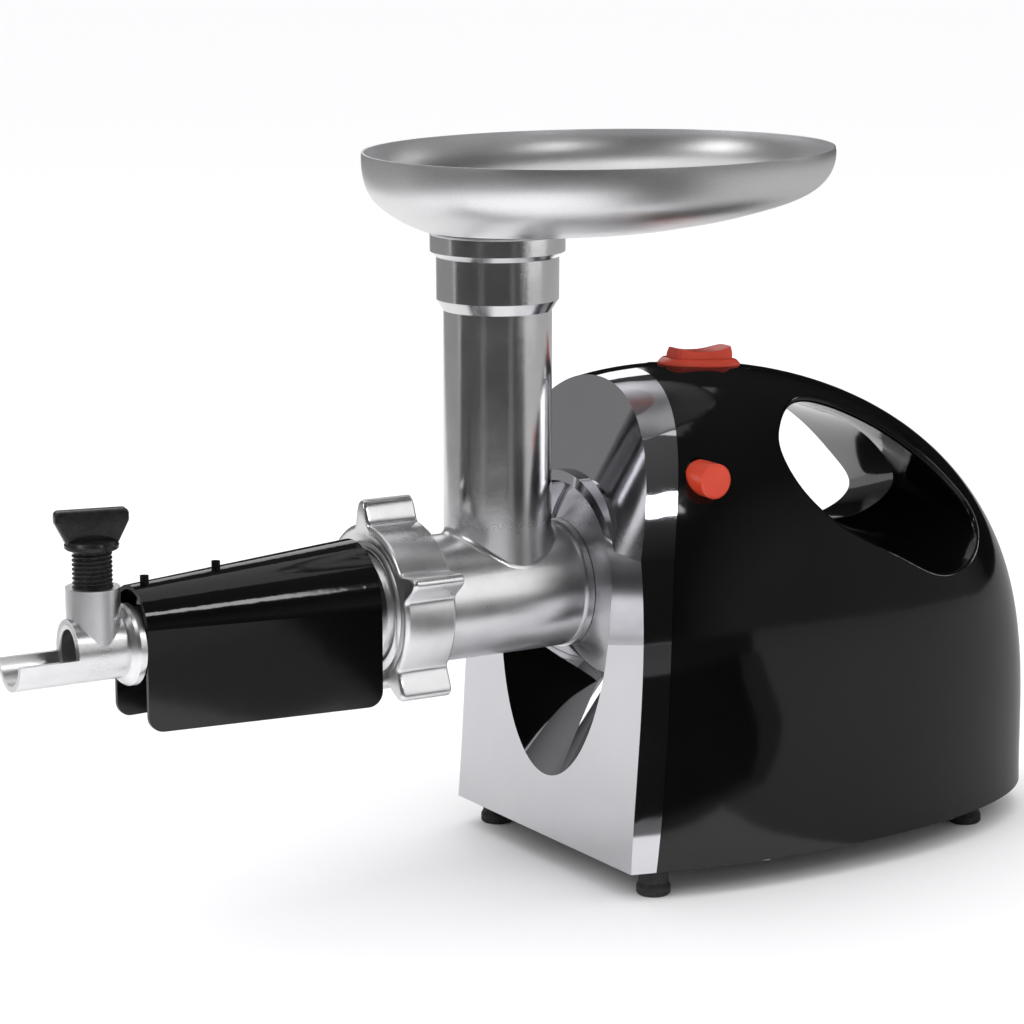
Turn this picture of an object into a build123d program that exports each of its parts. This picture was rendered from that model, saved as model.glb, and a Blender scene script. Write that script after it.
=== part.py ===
"""Electric meat grinder fitted with a juicer attachment.

X runs along the drive axis with the outlet toward -X, +Z is up, and the
release button is on the -Y side. The table is at Z = 0. Sizes in millimetres.
"""
import os
from math import acos, atan2, cos, pi, radians, sin, sqrt, tan

from build123d import *

os.makedirs("parts", exist_ok=True)

# Machine body
AXIS_Z = 135.0
BASE_Z = 13.5
BODY_TOP = 234.0
BODY_REAR = 271.5
CREST_X = 60.0
WIDEST_X = 85.0
HALF_WIDTH = 90.5
WALL = 2.8
GRIP_ROUND = 2.0

# Front panel: a nearly upright lower face, a leaning upper face, the hub rim
PANEL_FOOT_X = -1.1
SHOULDER_X = 8.0
SHOULDER_Z = 158.0
BROW_X = 30.5
BROW_Z = 236.0
HUB_R = 53.0
RECESS_R = 48.0
RECESS_X = 34.0
SCOOP_TILT = 52.0

# Grinder head
TUBE_X = -25.5
TUBE_R = 25.0
TUBE_BORE = 21.8
CUP_R = 28.2
BEAD_R = 31.0
BARREL_R = 29.3
BARREL_BORE = 24.0
BARREL_FRONT = -86.8
SPIGOT_R = 27.2
SPIGOT_END = 45.0

# Ring nut and juicer
NUT_FRONT = -95.5
NUT_REAR = -69.5
LOBE_R = 46.0
CONE_FRONT = -213.2
CONE_REAR_R = 23.0
CONE_FRONT_R = 13.2
GUARD_FRONT = -213.0
GUARD_REAR = -102.0
GUARD_FOOT = 95.5
SPOUT_TIP = -270.6
SPOUT_MOUTH = -243.0
SPOUT_Z = 132.3
BOSS_X = -230.5
BOSS_TOP = 160.0
SHANK_R = 8.8

# Tray
TRAY_X = 29.8
RIM_Z = 337.0
TRAY_FLOOR = 303.0
SHEET = 1.3

# Gear train: three pairs of spur gears, 60 to 1
PINION = 12
WHEELS = (60, 48, 36)
MODULES = (1.0, 1.25, 1.5)
CENTRES = [m * (PINION + w) / 2 for m, w in zip(MODULES, WHEELS)]
OUTPUT = (0.0, AXIS_Z)
SHAFT_C = (-CENTRES[2] * sin(radians(30)), AXIS_Z - CENTRES[2] * cos(radians(30)))
SHAFT_B = (SHAFT_C[0] + CENTRES[1] * cos(radians(20)), SHAFT_C[1] - CENTRES[1] * sin(radians(20)))
MOTOR = (0.0, SHAFT_B[1] - sqrt(CENTRES[0] ** 2 - SHAFT_B[0] ** 2))

# Controls
SWITCH_X = 84.5
SWITCH_Z = 233.0
SWITCH_SLOPE = 4.1
BUTTON_X = 45.0
BUTTON_Z = 191.6
BUTTON_R = 8.1
LOCK_X = 42.0


def across(x):
    """Plane across the drive axis at x, with local axes Y and Z."""
    return Plane(origin=(x, 0, 0), x_dir=(0, 1, 0), z_dir=(1, 0, 0))


def crest(x):
    """Height of the body's top line at x."""
    if x < CREST_X:
        return BODY_TOP - 12 * ((CREST_X - x) / 64) ** 2
    t = (x - CREST_X) / (BODY_REAR - CREST_X)
    return 60 + (BODY_TOP - 60) * (1 - t**2.15) ** (1 / 2.15)


def flank(x):
    """Half width of the body's foot at x."""
    if x < WIDEST_X:
        return HALF_WIDTH - 13 * ((WIDEST_X - x) / 89) ** 2
    t = (x - WIDEST_X) / (BODY_REAR - WIDEST_X)
    return HALF_WIDTH * (1 - t**2.3) ** (1 / 2.1)


def arch(x, inset, foot):
    """Arched section of the body at x: a superellipse standing at height foot."""
    wide, high = flank(x) - inset, crest(x) - inset - foot
    points = []
    for step in range(13):
        angle = pi * step / 12
        side = -1 if step > 6 else 1
        points.append(
            (
                side * wide * abs(cos(angle)) ** (2 / 2.1),
                foot + high * abs(sin(angle)) ** (2 / 3.6),
            )
        )
    with BuildSketch(across(x)) as section:
        with BuildLine():
            Spline(*points)
            Line(points[-1], points[0])
        make_face()
    return section.sketch


def side_face(points):
    """Closed outline on the middle plane, given as X and Z."""
    with BuildSketch(Plane.XZ) as face:
        with BuildLine():
            Polyline(*points, close=True)
        make_face()
    return face.sketch


def seam_face(gap):
    """Everything in front of the curved seam between panel and housing."""
    with BuildSketch(Plane.XZ) as face:
        with BuildLine():
            Spline(
                (8.8 - gap, 0),
                (18.8 - gap, 120),
                (23.5 - gap, 157),
                (39.5 - gap, 210),
                (55.5 - gap, 245),
            )
            Polyline((55.5 - gap, 245), (-60, 245), (-60, 0), (8.8 - gap, 0))
        make_face()
    return face.sketch


def grip_face(y, points, grow):
    """Outline of the handle opening on the plane at y, grown outward from its middle."""
    middle = (150, 178)
    grown = []
    for x, z in points:
        reach = sqrt((x - middle[0]) ** 2 + (z - middle[1]) ** 2)
        scale = 1 + grow / reach
        grown.append((middle[0] + (x - middle[0]) * scale, middle[1] + (z - middle[1]) * scale))
    with BuildSketch(Plane(origin=(0, y, 0), x_dir=(1, 0, 0), z_dir=(0, -1, 0))) as face:
        with BuildLine():
            Spline(*grown, periodic=True)
        make_face()
    return face.sketch


GRIP_MIDDLE = [
    (103, 203),
    (118, 211),
    (147, 207.5),
    (178, 194),
    (196, 179),
    (203, 165),
    (190, 153),
    (160, 150),
    (122, 171),
    (103, 190),
]
GRIP_OUTSIDE = [
    (91, 208),
    (108, 221),
    (143, 210.5),
    (176, 187),
    (206, 160),
    (219, 143),
    (192, 131),
    (153, 144),
    (111, 167),
    (89.5, 195),
]
STATIONS = (-4, 30, 70, 110, 150, 185, 215, 238, 253, 262, 267.5)

with BuildPart() as body_skin:
    loft([arch(x, 0, BASE_Z) for x in (*STATIONS, 270.6)])

with BuildPart() as body_core:
    loft([arch(x, WALL, BASE_Z - 2) for x in STATIONS[:-1]])

# The front panel is a plated shell: lower face, leaning upper face and rim band
# follow the body, and the hub rim frames the recess round the socket.
FACE = [(PANEL_FOOT_X, BASE_Z), (SHOULDER_X, SHOULDER_Z), (BROW_X, BROW_Z)]
FACE_BACK = [(PANEL_FOOT_X + 3, BASE_Z - 3), (SHOULDER_X + 3, SHOULDER_Z), (BROW_X + 3, BROW_Z)]
SLOPE = (SHOULDER_X - PANEL_FOOT_X) / (SHOULDER_Z - BASE_Z)
LOWER_FACE = [(PANEL_FOOT_X, BASE_Z), (PANEL_FOOT_X + 220 * SLOPE, BASE_Z + 220)]

with BuildPart() as panel_core:
    add(body_core.part)
    extrude(side_face([*FACE_BACK, (90, BROW_Z), (90, BASE_Z - 3)]), 120, both=True, mode=Mode.INTERSECT)

with BuildPart() as front_panel:
    add(body_skin.part)
    extrude(side_face([*FACE, (90, BROW_Z), (90, BASE_Z)]), 120, both=True, mode=Mode.INTERSECT)
    add(panel_core.part, mode=Mode.SUBTRACT)
    extrude(seam_face(0.2), 120, both=True, mode=Mode.INTERSECT)

scoop_axis = Plane(
    origin=(SHOULDER_X - 1.5, 0, AXIS_Z - 7),
    x_dir=(0, 1, 0),
    z_dir=(cos(radians(SCOOP_TILT)), 0, sin(radians(SCOOP_TILT))),
)
with BuildPart() as scoop_shell:
    with BuildSketch(scoop_axis):
        Circle(RECESS_R + 2.5)
    extrude(amount=120, both=True)
    extrude(
        side_face([*LOWER_FACE, (RECESS_X + 3, BASE_Z + 220), (RECESS_X + 3, BASE_Z)]),
        120,
        both=True,
        mode=Mode.INTERSECT,
    )
    with Locations((0, 0, AXIS_Z)):
        Box(200, 200, 200, align=(Align.CENTER, Align.CENTER, Align.MAX), mode=Mode.INTERSECT)

with BuildPart() as scoop_void:
    with BuildSketch(scoop_axis):
        Circle(RECESS_R)
    extrude(amount=120, both=True)
    with Locations((RECESS_X, 0, AXIS_Z)):
        Box(200, 200, 200, align=(Align.MAX, Align.CENTER, Align.MAX), mode=Mode.INTERSECT)

with BuildPart() as hub:
    with BuildSketch(across(-30)):
        with Locations((0, AXIS_Z)):
            Circle(HUB_R)
    extrude(amount=RECESS_X + 33)
    extrude(
        side_face([*LOWER_FACE, (RECESS_X + 3, BASE_Z + 220), (RECESS_X + 3, BASE_Z)]),
        120,
        both=True,
        mode=Mode.INTERSECT,
    )
    with Locations((0, 0, AXIS_Z)):
        Box(200, 200, 200, align=(Align.CENTER, Align.CENTER, Align.MIN), mode=Mode.INTERSECT)

with BuildPart() as front_panel_full:
    add(front_panel.part)
    add(scoop_shell.part)
    add(hub.part)
    add(scoop_void.part, mode=Mode.SUBTRACT)
    with BuildSketch(across(-30)):
        with Locations((0, AXIS_Z)):
            Circle(RECESS_R)
    extrude(amount=RECESS_X + 30, mode=Mode.SUBTRACT)
    with BuildSketch(across(RECESS_X - 5)):
        with Locations((0, AXIS_Z)):
            Circle(33)
    extrude(amount=20, mode=Mode.SUBTRACT)
front_panel_full.part.label = "front_panel"
export_step(front_panel_full.part, "parts/front_panel.step")

# The two housing shells meet on the middle plane. The handle opening is a tunnel
# that flares toward each side.
with BuildPart() as grip_void:
    loft([grip_face(0, GRIP_MIDDLE, 0), grip_face(-80, GRIP_OUTSIDE, 0)], ruled=True)

with BuildPart() as grip_wall:
    loft([grip_face(0, GRIP_MIDDLE, WALL), grip_face(-80, GRIP_OUTSIDE, WALL)], ruled=True)

HALF = (Align.CENTER, Align.MAX, Align.CENTER)
with BuildPart() as half_void:
    add(body_core.part)
    Box(800, 200, 800, align=HALF, mode=Mode.INTERSECT)
    add(grip_wall.part, mode=Mode.SUBTRACT)

with BuildPart() as posts:
    with Locations((70, -82, 16.9), (185, -72, 16.9)):
        Cylinder(5, 26, align=(Align.CENTER, Align.CENTER, Align.MIN))
    add(body_skin.part, mode=Mode.INTERSECT)
    with Locations((70, -82, 16.9), (185, -72, 16.9)):
        Cylinder(1.7, 20, align=(Align.CENTER, Align.CENTER, Align.MIN), mode=Mode.SUBTRACT)

switch_plane = Plane(
    origin=(SWITCH_X, 0, SWITCH_Z),
    x_dir=(cos(radians(SWITCH_SLOPE)), 0, -sin(radians(SWITCH_SLOPE))),
    z_dir=(sin(radians(SWITCH_SLOPE)), 0, cos(radians(SWITCH_SLOPE))),
)
with BuildPart() as half_shell:
    add(body_skin.part)
    Box(800, 200, 800, align=HALF, mode=Mode.INTERSECT)
    extrude(seam_face(0), 120, both=True, mode=Mode.SUBTRACT)
    add(grip_void.part, mode=Mode.SUBTRACT)
    grip_rims = edges().filter_by(lambda e: e.is_closed).sort_by(Axis.Y)
    fillet(grip_rims[0], GRIP_ROUND)
    add(half_void.part, mode=Mode.SUBTRACT)
    add(posts.part)
    with Locations(switch_plane.offset(-1.0)):
        Box(47.6, 25.6, 12, align=(Align.CENTER, Align.CENTER, Align.MIN), mode=Mode.SUBTRACT)
    with Locations(switch_plane):
        Box(43, 22, 20, mode=Mode.SUBTRACT)

button_plane = Plane(origin=(BUTTON_X, 0, BUTTON_Z), x_dir=(1, 0, 0), z_dir=(0, -1, 0))
with BuildPart() as button_sleeve:
    with BuildSketch(button_plane.offset(48)):
        Circle(10.8)
    extrude(amount=30)
    add(body_skin.part, mode=Mode.INTERSECT)

with BuildPart() as housing_left:
    add(half_shell.part)
    add(button_sleeve.part)
    with BuildSketch(button_plane.offset(50)):
        Circle(8.5)
    extrude(amount=40, mode=Mode.SUBTRACT)
    with BuildSketch(button_plane.offset(40)):
        Circle(4.06)
    extrude(amount=20, mode=Mode.SUBTRACT)
housing_left.part.label = "housing_left"
export_step(housing_left.part, "parts/housing_left.step")

GLAND_Y = 42.0
GLAND_Z = 36.0
with BuildPart() as gland_shell:
    add(half_shell.part)
    with BuildSketch(across(225)):
        with Locations((-GLAND_Y, GLAND_Z)):
            Circle(6.2)
    extrude(amount=60, mode=Mode.SUBTRACT)

with BuildPart() as housing_right:
    add(mirror(gland_shell.part, about=Plane.XZ))
housing_right.part.label = "housing_right"
export_step(housing_right.part, "parts/housing_right.step")

with BuildPart() as cord_gland:
    with BuildSketch(across(240)):
        with Locations((GLAND_Y, GLAND_Z)):
            Circle(6.0)
            Circle(3.6, mode=Mode.SUBTRACT)
    extrude(amount=27)
    with BuildSketch(across(261)):
        with Locations((GLAND_Y, GLAND_Z)):
            Circle(7.5)
            Circle(6.0, mode=Mode.SUBTRACT)
    extrude(amount=3)
cord_gland.part.label = "cord_gland"
export_step(cord_gland.part, "parts/cord_gland.step")

FEET = {
    "foot_front_left": (16.5, -70),
    "foot_front_right": (16.5, 70),
    "foot_rear_left": (214, -50),
    "foot_rear_right": (214, 50),
}
FOOT_LINE = [(0, 0), (7, 0), (8, 1), (8, 4), (7, 6), (7, 14), (3, 14), (3, 18.5), (0, 18.5)]
SCREWS = [(70, -82), (185, -72), (70, 82), (185, 72)]
with BuildPart() as base_plate:
    loft([arch(x, WALL + 0.4, BASE_Z - 2) for x in STATIONS[:-1]])
    with Locations((5, 0, 14.2)):
        Box(256, 300, 2.4, align=(Align.MIN, Align.CENTER, Align.MIN), mode=Mode.INTERSECT)
    with BuildSketch(Plane.XY.offset(10)):
        with Locations(*FEET.values()):
            Circle(3.3)
        with Locations(*SCREWS):
            Circle(2.2)
        with Locations((130, 0)):
            with GridLocations(9, 46, 8, 2):
                SlotOverall(30, 4, rotation=90)
    extrude(amount=10, mode=Mode.SUBTRACT)
base_plate.part.label = "base_plate"
export_step(base_plate.part, "parts/base_plate.step")

for name, (foot_x, foot_y) in FEET.items():
    with BuildPart() as foot:
        with BuildSketch(Plane(origin=(foot_x, foot_y, 0), x_dir=(1, 0, 0), z_dir=(0, -1, 0))):
            with BuildLine():
                Polyline(*FOOT_LINE, close=True)
            make_face()
        revolve(axis=Axis((foot_x, foot_y, 0), (0, 0, 1)))
    foot.part.label = name
    export_step(foot.part, f"parts/{name}.step")

with BuildPart() as base_screws:
    with Locations(*[(x, y, 11.6) for x, y in SCREWS]):
        Cylinder(3.6, 2.4, align=(Align.CENTER, Align.CENTER, Align.MIN))
        Cylinder(1.6, 22, align=(Align.CENTER, Align.CENTER, Align.MIN))
        Box(5, 1, 1.6, mode=Mode.SUBTRACT)
base_screws.part.label = "base_screws"
export_step(base_screws.part, "parts/base_screws.step")

drive_axis = Axis((0, 0, AXIS_Z), (1, 0, 0))
tube_axis = Axis((TUBE_X, 0, 0), (0, 0, 1))


def turned(points, axis, height):
    """Solid of revolution about a lengthwise axis: points are X and radius."""
    with BuildPart() as piece:
        with BuildSketch(Plane.XZ):
            with BuildLine():
                Polyline(*[(x, height + r) for x, r in points], close=True)
            make_face()
        revolve(axis=axis)
    return piece.part


def round_bar(centre, x, length, radius):
    """Plain bar along X."""
    with BuildPart() as bar:
        with BuildSketch(across(x)):
            with Locations(centre):
                Circle(radius)
        extrude(amount=length)
    return bar.part


# Socket of the machine: a trumpet-shaped collar that takes the head's spigot.
with BuildPart() as socket_ring:
    with BuildSketch(Plane.XZ):
        with BuildLine():
            Spline((9.5, AXIS_Z + 30.2), (20, AXIS_Z + 31.4), (28, AXIS_Z + 36.5), (32, AXIS_Z + 46))
            Polyline(
                (32, AXIS_Z + 46),
                (33.8, AXIS_Z + 46),
                (33.8, AXIS_Z + 32.6),
                (47.5, AXIS_Z + 32.6),
                (47.5, AXIS_Z + 11.5),
                (46, AXIS_Z + 11.5),
                (46, AXIS_Z + 27.4),
                (9.5, AXIS_Z + 27.4),
                (9.5, AXIS_Z + 30.2),
            )
        make_face()
    revolve(axis=drive_axis)
    with Locations((LOCK_X, 0, AXIS_Z + 20)):
        Cylinder(2.6, 30, align=(Align.CENTER, Align.CENTER, Align.MIN), mode=Mode.SUBTRACT)
socket_ring.part.label = "socket_ring"
export_step(socket_ring.part, "parts/socket_ring.step")

# The head is one casting: barrel, feed tube with its stepped cup, rear spigot.
with BuildPart() as grinder_head:
    add(
        turned(
            [
                (BARREL_FRONT, 0),
                (BARREL_FRONT, 28.6),
                (-66, 28.6),
                (-65, BARREL_R),
                (4.2, BARREL_R),
                (4.2, 28.2),
                (6.0, 28.2),
                (6.0, 30.2),
                (9.0, 30.2),
                (9.0, SPIGOT_R),
                (SPIGOT_END, SPIGOT_R),
                (SPIGOT_END, 0),
            ],
            drive_axis,
            AXIS_Z,
        )
    )
    with BuildSketch(Plane.XZ):
        with BuildLine():
            Polyline(
                (TUBE_X, AXIS_Z),
                (TUBE_X + TUBE_R, AXIS_Z),
                (TUBE_X + TUBE_R, 266.5),
                (TUBE_X + CUP_R, 271.6),
                (TUBE_X + CUP_R, 291.0),
                (TUBE_X + BEAD_R, 293.5),
                (TUBE_X + BEAD_R, 301.0),
                (TUBE_X + BEAD_R - 0.8, 301.8),
                (TUBE_X, 301.8),
                close=True,
            )
        make_face()
    revolve(axis=tube_axis)
    saddle = edges().filter_by(lambda e: e.geom_type not in (GeomType.LINE, GeomType.CIRCLE))
    fillet(saddle, 3.0)
    add(
        turned(
            [
                (BARREL_FRONT, 0),
                (BARREL_FRONT, BARREL_BORE),
                (20, BARREL_BORE),
                (20, 17),
                (24, 17),
                (24, 22),
                (SPIGOT_END, 22),
                (SPIGOT_END, 0),
            ],
            drive_axis,
            AXIS_Z,
        ),
        mode=Mode.SUBTRACT,
    )
    with Locations((TUBE_X, 0, AXIS_Z)):
        Cylinder(TUBE_BORE, 200, align=(Align.CENTER, Align.CENTER, Align.MIN), mode=Mode.SUBTRACT)
    with Locations((TUBE_X, 0, 275)):
        Cylinder(25.6, 100, align=(Align.CENTER, Align.CENTER, Align.MIN), mode=Mode.SUBTRACT)
    with Locations((LOCK_X, 0, AXIS_Z + 20)):
        Cylinder(2.7, 30, align=(Align.CENTER, Align.CENTER, Align.MIN), mode=Mode.SUBTRACT)
grinder_head.part.label = "grinder_head"
export_step(grinder_head.part, "parts/grinder_head.step")

with BuildPart() as auger_bush:
    bush_line = [(20.2, 14.06), (20.2, 16.9), (24.1, 16.9), (24.1, 19), (26, 19), (26, 14.06)]
    add(turned(bush_line, drive_axis, AXIS_Z))
auger_bush.part.label = "auger_bush"
export_step(auger_bush.part, "parts/auger_bush.step")

def from_axis(vertex):
    """Distance of a vertex from the drive axis."""
    return sqrt(vertex.Y**2 + (vertex.Z - AXIS_Z) ** 2)


# Ring nut: four grip lobes round a threaded ring with an inner lip.
with BuildPart() as ring_nut:
    with BuildSketch(across(NUT_FRONT)) as nut_outline:
        with Locations((0, AXIS_Z)):
            Circle(38.0)
            with PolarLocations(38.0, 4, start_angle=73):
                Rectangle(2 * (LOBE_R - 38.0), 13)
        fillet(nut_outline.vertices().filter_by(lambda v: from_axis(v) < 40), 7.0)
        fillet(nut_outline.vertices().filter_by(lambda v: from_axis(v) > 46), 2.0)
    extrude(amount=NUT_REAR - NUT_FRONT)
    chamfer(faces().filter_by(Axis.X).edges(), 1.0)
    add(
        turned(
            [
                (NUT_FRONT - 1, 0),
                (NUT_FRONT - 1, 26.4),
                (-91.0, 26.4),
                (-91.0, 29.2),
                (NUT_REAR + 1, 29.2),
                (NUT_REAR + 1, 0),
            ],
            drive_axis,
            AXIS_Z,
        ),
        mode=Mode.SUBTRACT,
    )
ring_nut.part.label = "ring_nut"
export_step(ring_nut.part, "parts/ring_nut.step")

# Strainer cone of the juicer, pierced all round.
CONE_TAPER = (CONE_REAR_R - CONE_FRONT_R) / (-91.0 - CONE_FRONT)
with BuildPart() as strainer_cone:
    add(
        turned(
            [
                (-87.1, CONE_REAR_R - 1.8),
                (-87.1, 28.2),
                (-90.8, 28.2),
                (-90.8, 26.0),
                (-98.0, 25.2),
                (-99.0, CONE_REAR_R - 8 * CONE_TAPER),
                (CONE_FRONT, CONE_FRONT_R),
                (CONE_FRONT, CONE_FRONT_R - 2.0),
            ],
            drive_axis,
            AXIS_Z,
        )
    )
    for row in range(8):
        row_x = -110 - 12 * row
        with Locations(Plane(origin=(row_x, 0, AXIS_Z), x_dir=(0, 1, 0), z_dir=(1, 0, 0))):
            with PolarLocations(CONE_REAR_R + (row_x + 91) * CONE_TAPER, 12, start_angle=15 * (row % 2)):
                Cylinder(1.3, 14, rotation=(0, 90, 0), mode=Mode.SUBTRACT)
strainer_cone.part.label = "strainer_cone"
export_step(strainer_cone.part, "parts/strainer_cone.step")


def hood(x, inset, foot):
    """Inverted U of the guard at x, following the taper of the cone."""
    share = (x - GUARD_FRONT) / (GUARD_REAR - GUARD_FRONT)
    half = 17.3 + 10.2 * share - inset
    spring = AXIS_Z + 6.3 - 1.6 * share
    with BuildSketch(across(x)) as outline:
        with BuildLine():
            Polyline((-half, spring), (-half, foot), (half, foot), (half, spring))
            ThreePointArc((half, spring), (0, spring + half), (-half, spring))
        make_face()
    return outline.sketch


with BuildPart() as juice_guard:
    loft([hood(GUARD_FRONT, 0, GUARD_FOOT), hood(GUARD_REAR, 0, GUARD_FOOT)], ruled=True)
    corners = edges().filter_by(Axis.Y).group_by(Axis.Z)[0]
    fillet(corners, 7)
    loft([hood(GUARD_FRONT - 20, 2, 60), hood(GUARD_REAR + 20, 2, 60)], ruled=True, mode=Mode.SUBTRACT)
    for rib_x in (-208, -110):
        extrude(hood(rib_x, 1, AXIS_Z), 3)
        rib_seat = CONE_REAR_R + (rib_x + 94) * CONE_TAPER + 0.35
        add(round_bar((0, AXIS_Z), rib_x - 1, 5, rib_seat), mode=Mode.SUBTRACT)
    for peg_x in (-205.8, -170.9):
        peg_share = (peg_x - GUARD_FRONT) / (GUARD_REAR - GUARD_FRONT)
        with Locations((peg_x, 0, AXIS_Z + 22.6 + 8.6 * peg_share)):
            Cylinder(2.0, 4.0, align=(Align.CENTER, Align.CENTER, Align.MIN))
juice_guard.part.label = "juice_guard"
export_step(juice_guard.part, "parts/juice_guard.step")

# Spout: an oval pipe with a screw boss, cut open to a trough at the tip.
with BuildPart() as spout:
    with BuildSketch(across(SPOUT_TIP)):
        with Locations((0, SPOUT_Z)):
            Ellipse(12.3, 14.4)
    extrude(amount=CONE_FRONT - 2 - SPOUT_TIP)
    with BuildSketch(Plane.XY.offset(SPOUT_Z)):
        with Locations((BOSS_X, 0)):
            Circle(12.0)
    extrude(amount=BOSS_TOP - SPOUT_Z)
    add(
        turned(
            [
                (CONE_FRONT - 6, 0),
                (CONE_FRONT - 6, 14.5),
                (CONE_FRONT - 4.4, 17.2),
                (CONE_FRONT - 3, 18.2),
                (CONE_FRONT - 0.2, 18.2),
                (CONE_FRONT - 0.2, 0),
            ],
            Axis((0, 0, SPOUT_Z), (1, 0, 0)),
            SPOUT_Z,
        )
    )
    add(round_bar((0, AXIS_Z), CONE_FRONT - 1, 8, CONE_FRONT_R - 2.3))
    with BuildSketch(across(SPOUT_TIP - 5)):
        with Locations((0, SPOUT_Z)):
            Ellipse(9.9, 12.0)
    extrude(amount=CONE_FRONT - 5 - SPOUT_TIP, mode=Mode.SUBTRACT)
    add(round_bar((0, AXIS_Z), CONE_FRONT - 8, 20, 8.8), mode=Mode.SUBTRACT)
    with BuildSketch(Plane.XY.offset(SPOUT_Z)):
        with Locations((BOSS_X, 0)):
            Circle(9.0)
    extrude(amount=60, mode=Mode.SUBTRACT)
    with Locations((SPOUT_MOUTH, 0, SPOUT_Z - 1.5)):
        Box(60, 60, 60, align=(Align.MAX, Align.CENTER, Align.MIN), mode=Mode.SUBTRACT)
spout.part.label = "spout"
export_step(spout.part, "parts/spout.step")

# Adjusting screw: shank, collar and wing, pressing on a swivel pad.
wing_turn = radians(31)
wing_plane = Plane(
    origin=(BOSS_X, 0, 179.0),
    x_dir=(cos(wing_turn), -sin(wing_turn), 0),
    z_dir=(sin(wing_turn), cos(wing_turn), 0),
)
with BuildPart() as wing_screw:
    with Locations((BOSS_X, 0, 152.0)):
        Cylinder(SHANK_R, 23, align=(Align.CENTER, Align.CENTER, Align.MIN))
    with Locations((BOSS_X, 0, 173.5)):
        Cylinder(12.0, 5.5, align=(Align.CENTER, Align.CENTER, Align.MIN))
    with Locations((BOSS_X, 0, 148.0)):
        Cylinder(2.0, 26, align=(Align.CENTER, Align.CENTER, Align.MIN))
    with BuildSketch(wing_plane) as wing:
        with BuildLine():
            Polyline(
                (-8.5, 1.0),
                (-15.6, -8.5),
                (-15.6, -12.6),
                (15.6, -12.6),
                (15.6, -8.5),
                (8.5, 1.0),
                close=True,
            )
        make_face()
        fillet(wing.vertices(), 1.5)
    extrude(amount=3.6, both=True)
wing_screw.part.label = "wing_screw"
export_step(wing_screw.part, "parts/wing_screw.step")

with BuildPart() as screw_pad:
    with Locations((BOSS_X, 0, 146.2)):
        Cylinder(8.0, 5.5, align=(Align.CENTER, Align.CENTER, Align.MIN))
    with Locations((BOSS_X, 0, 147.8)):
        Cylinder(2.05, 10, align=(Align.CENTER, Align.CENTER, Align.MIN), mode=Mode.SUBTRACT)
screw_pad.part.label = "screw_pad"
export_step(screw_pad.part, "parts/screw_pad.step")


def oval(z, shift, inset):
    """Level outline of the tray at z. It widens fast from the floor, then steepens to the rim."""
    rise = max(0.0, min(1.0, (z - TRAY_FLOOR) / (RIM_Z - TRAY_FLOOR)))
    swell = 1 - (1 - rise) ** 3.4
    with BuildSketch(Plane.XY.offset(z + shift)) as outline:
        with Locations((TRAY_X - 22 * (1 - swell), 0)):
            Ellipse(68 + 46.5 * swell - inset, 50 + 44.5 * swell - inset)
    return outline.sketch


LEVELS = (TRAY_FLOOR, 304.5, 307.5, 312, 319, 328, RIM_Z)
with BuildPart() as tray:
    loft([oval(z, 0, 0) for z in LEVELS])
    loft([oval(z, SHEET, 1.2) for z in LEVELS], mode=Mode.SUBTRACT)
    with Locations((TUBE_X, 0, 275.4)):
        Cylinder(25.3, TRAY_FLOOR - 275.0, align=(Align.CENTER, Align.CENTER, Align.MIN))
    with Locations((TUBE_X, 0, 270)):
        Cylinder(TUBE_BORE, 40, align=(Align.CENTER, Align.CENTER, Align.MIN), mode=Mode.SUBTRACT)
tray.part.label = "tray"
export_step(tray.part, "parts/tray.step")


def mesh_phase(line, phase, teeth, mate):
    """Phase of the mate whose gap faces a tooth of the first gear along the centre line."""
    share = (line - phase) * teeth / (2 * pi)
    return line + pi - (0.5 - share) * 2 * pi / mate


def gear(teeth, module, phase, centre, x, width):
    """Spur gear with involute flanks, short teeth and a little backlash."""
    pressure = radians(20)
    pitch = module * teeth / 2
    base = pitch * cos(pressure)
    tip, root = pitch + 0.75 * module, pitch - 1.05 * module
    start = max(base, root)
    half = pi / (2 * teeth) - 0.07 * module / pitch + tan(pressure) - pressure
    rising = []
    if root < base:
        rising.append((root, half))
    for step in range(4):
        radius = start + (tip - start) * step / 3
        roll = acos(min(1.0, base / radius))
        rising.append((radius, half - tan(roll) + roll))
    points = []
    for number in range(teeth):
        middle = phase + 2 * pi * number / teeth
        for radius, spread in rising:
            points.append((radius * cos(middle - spread), radius * sin(middle - spread)))
        for radius, spread in reversed(rising):
            points.append((radius * cos(middle + spread), radius * sin(middle + spread)))
    with BuildPart() as blank:
        with BuildSketch(across(x)):
            with BuildLine():
                Polyline(*[(centre[0] + u, centre[1] + v) for u, v in points], close=True)
            make_face()
        extrude(amount=width)
    return blank.part


def line_angle(one, other):
    """Direction from one shaft to another, seen along X."""
    return atan2(other[1] - one[1], other[0] - one[0])


phase_b_wheel = mesh_phase(line_angle(MOTOR, SHAFT_B), 0, PINION, WHEELS[0])
phase_c_wheel = mesh_phase(line_angle(SHAFT_B, SHAFT_C), 0, PINION, WHEELS[1])
phase_out = mesh_phase(line_angle(SHAFT_C, OUTPUT), 0, PINION, WHEELS[2])

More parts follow.
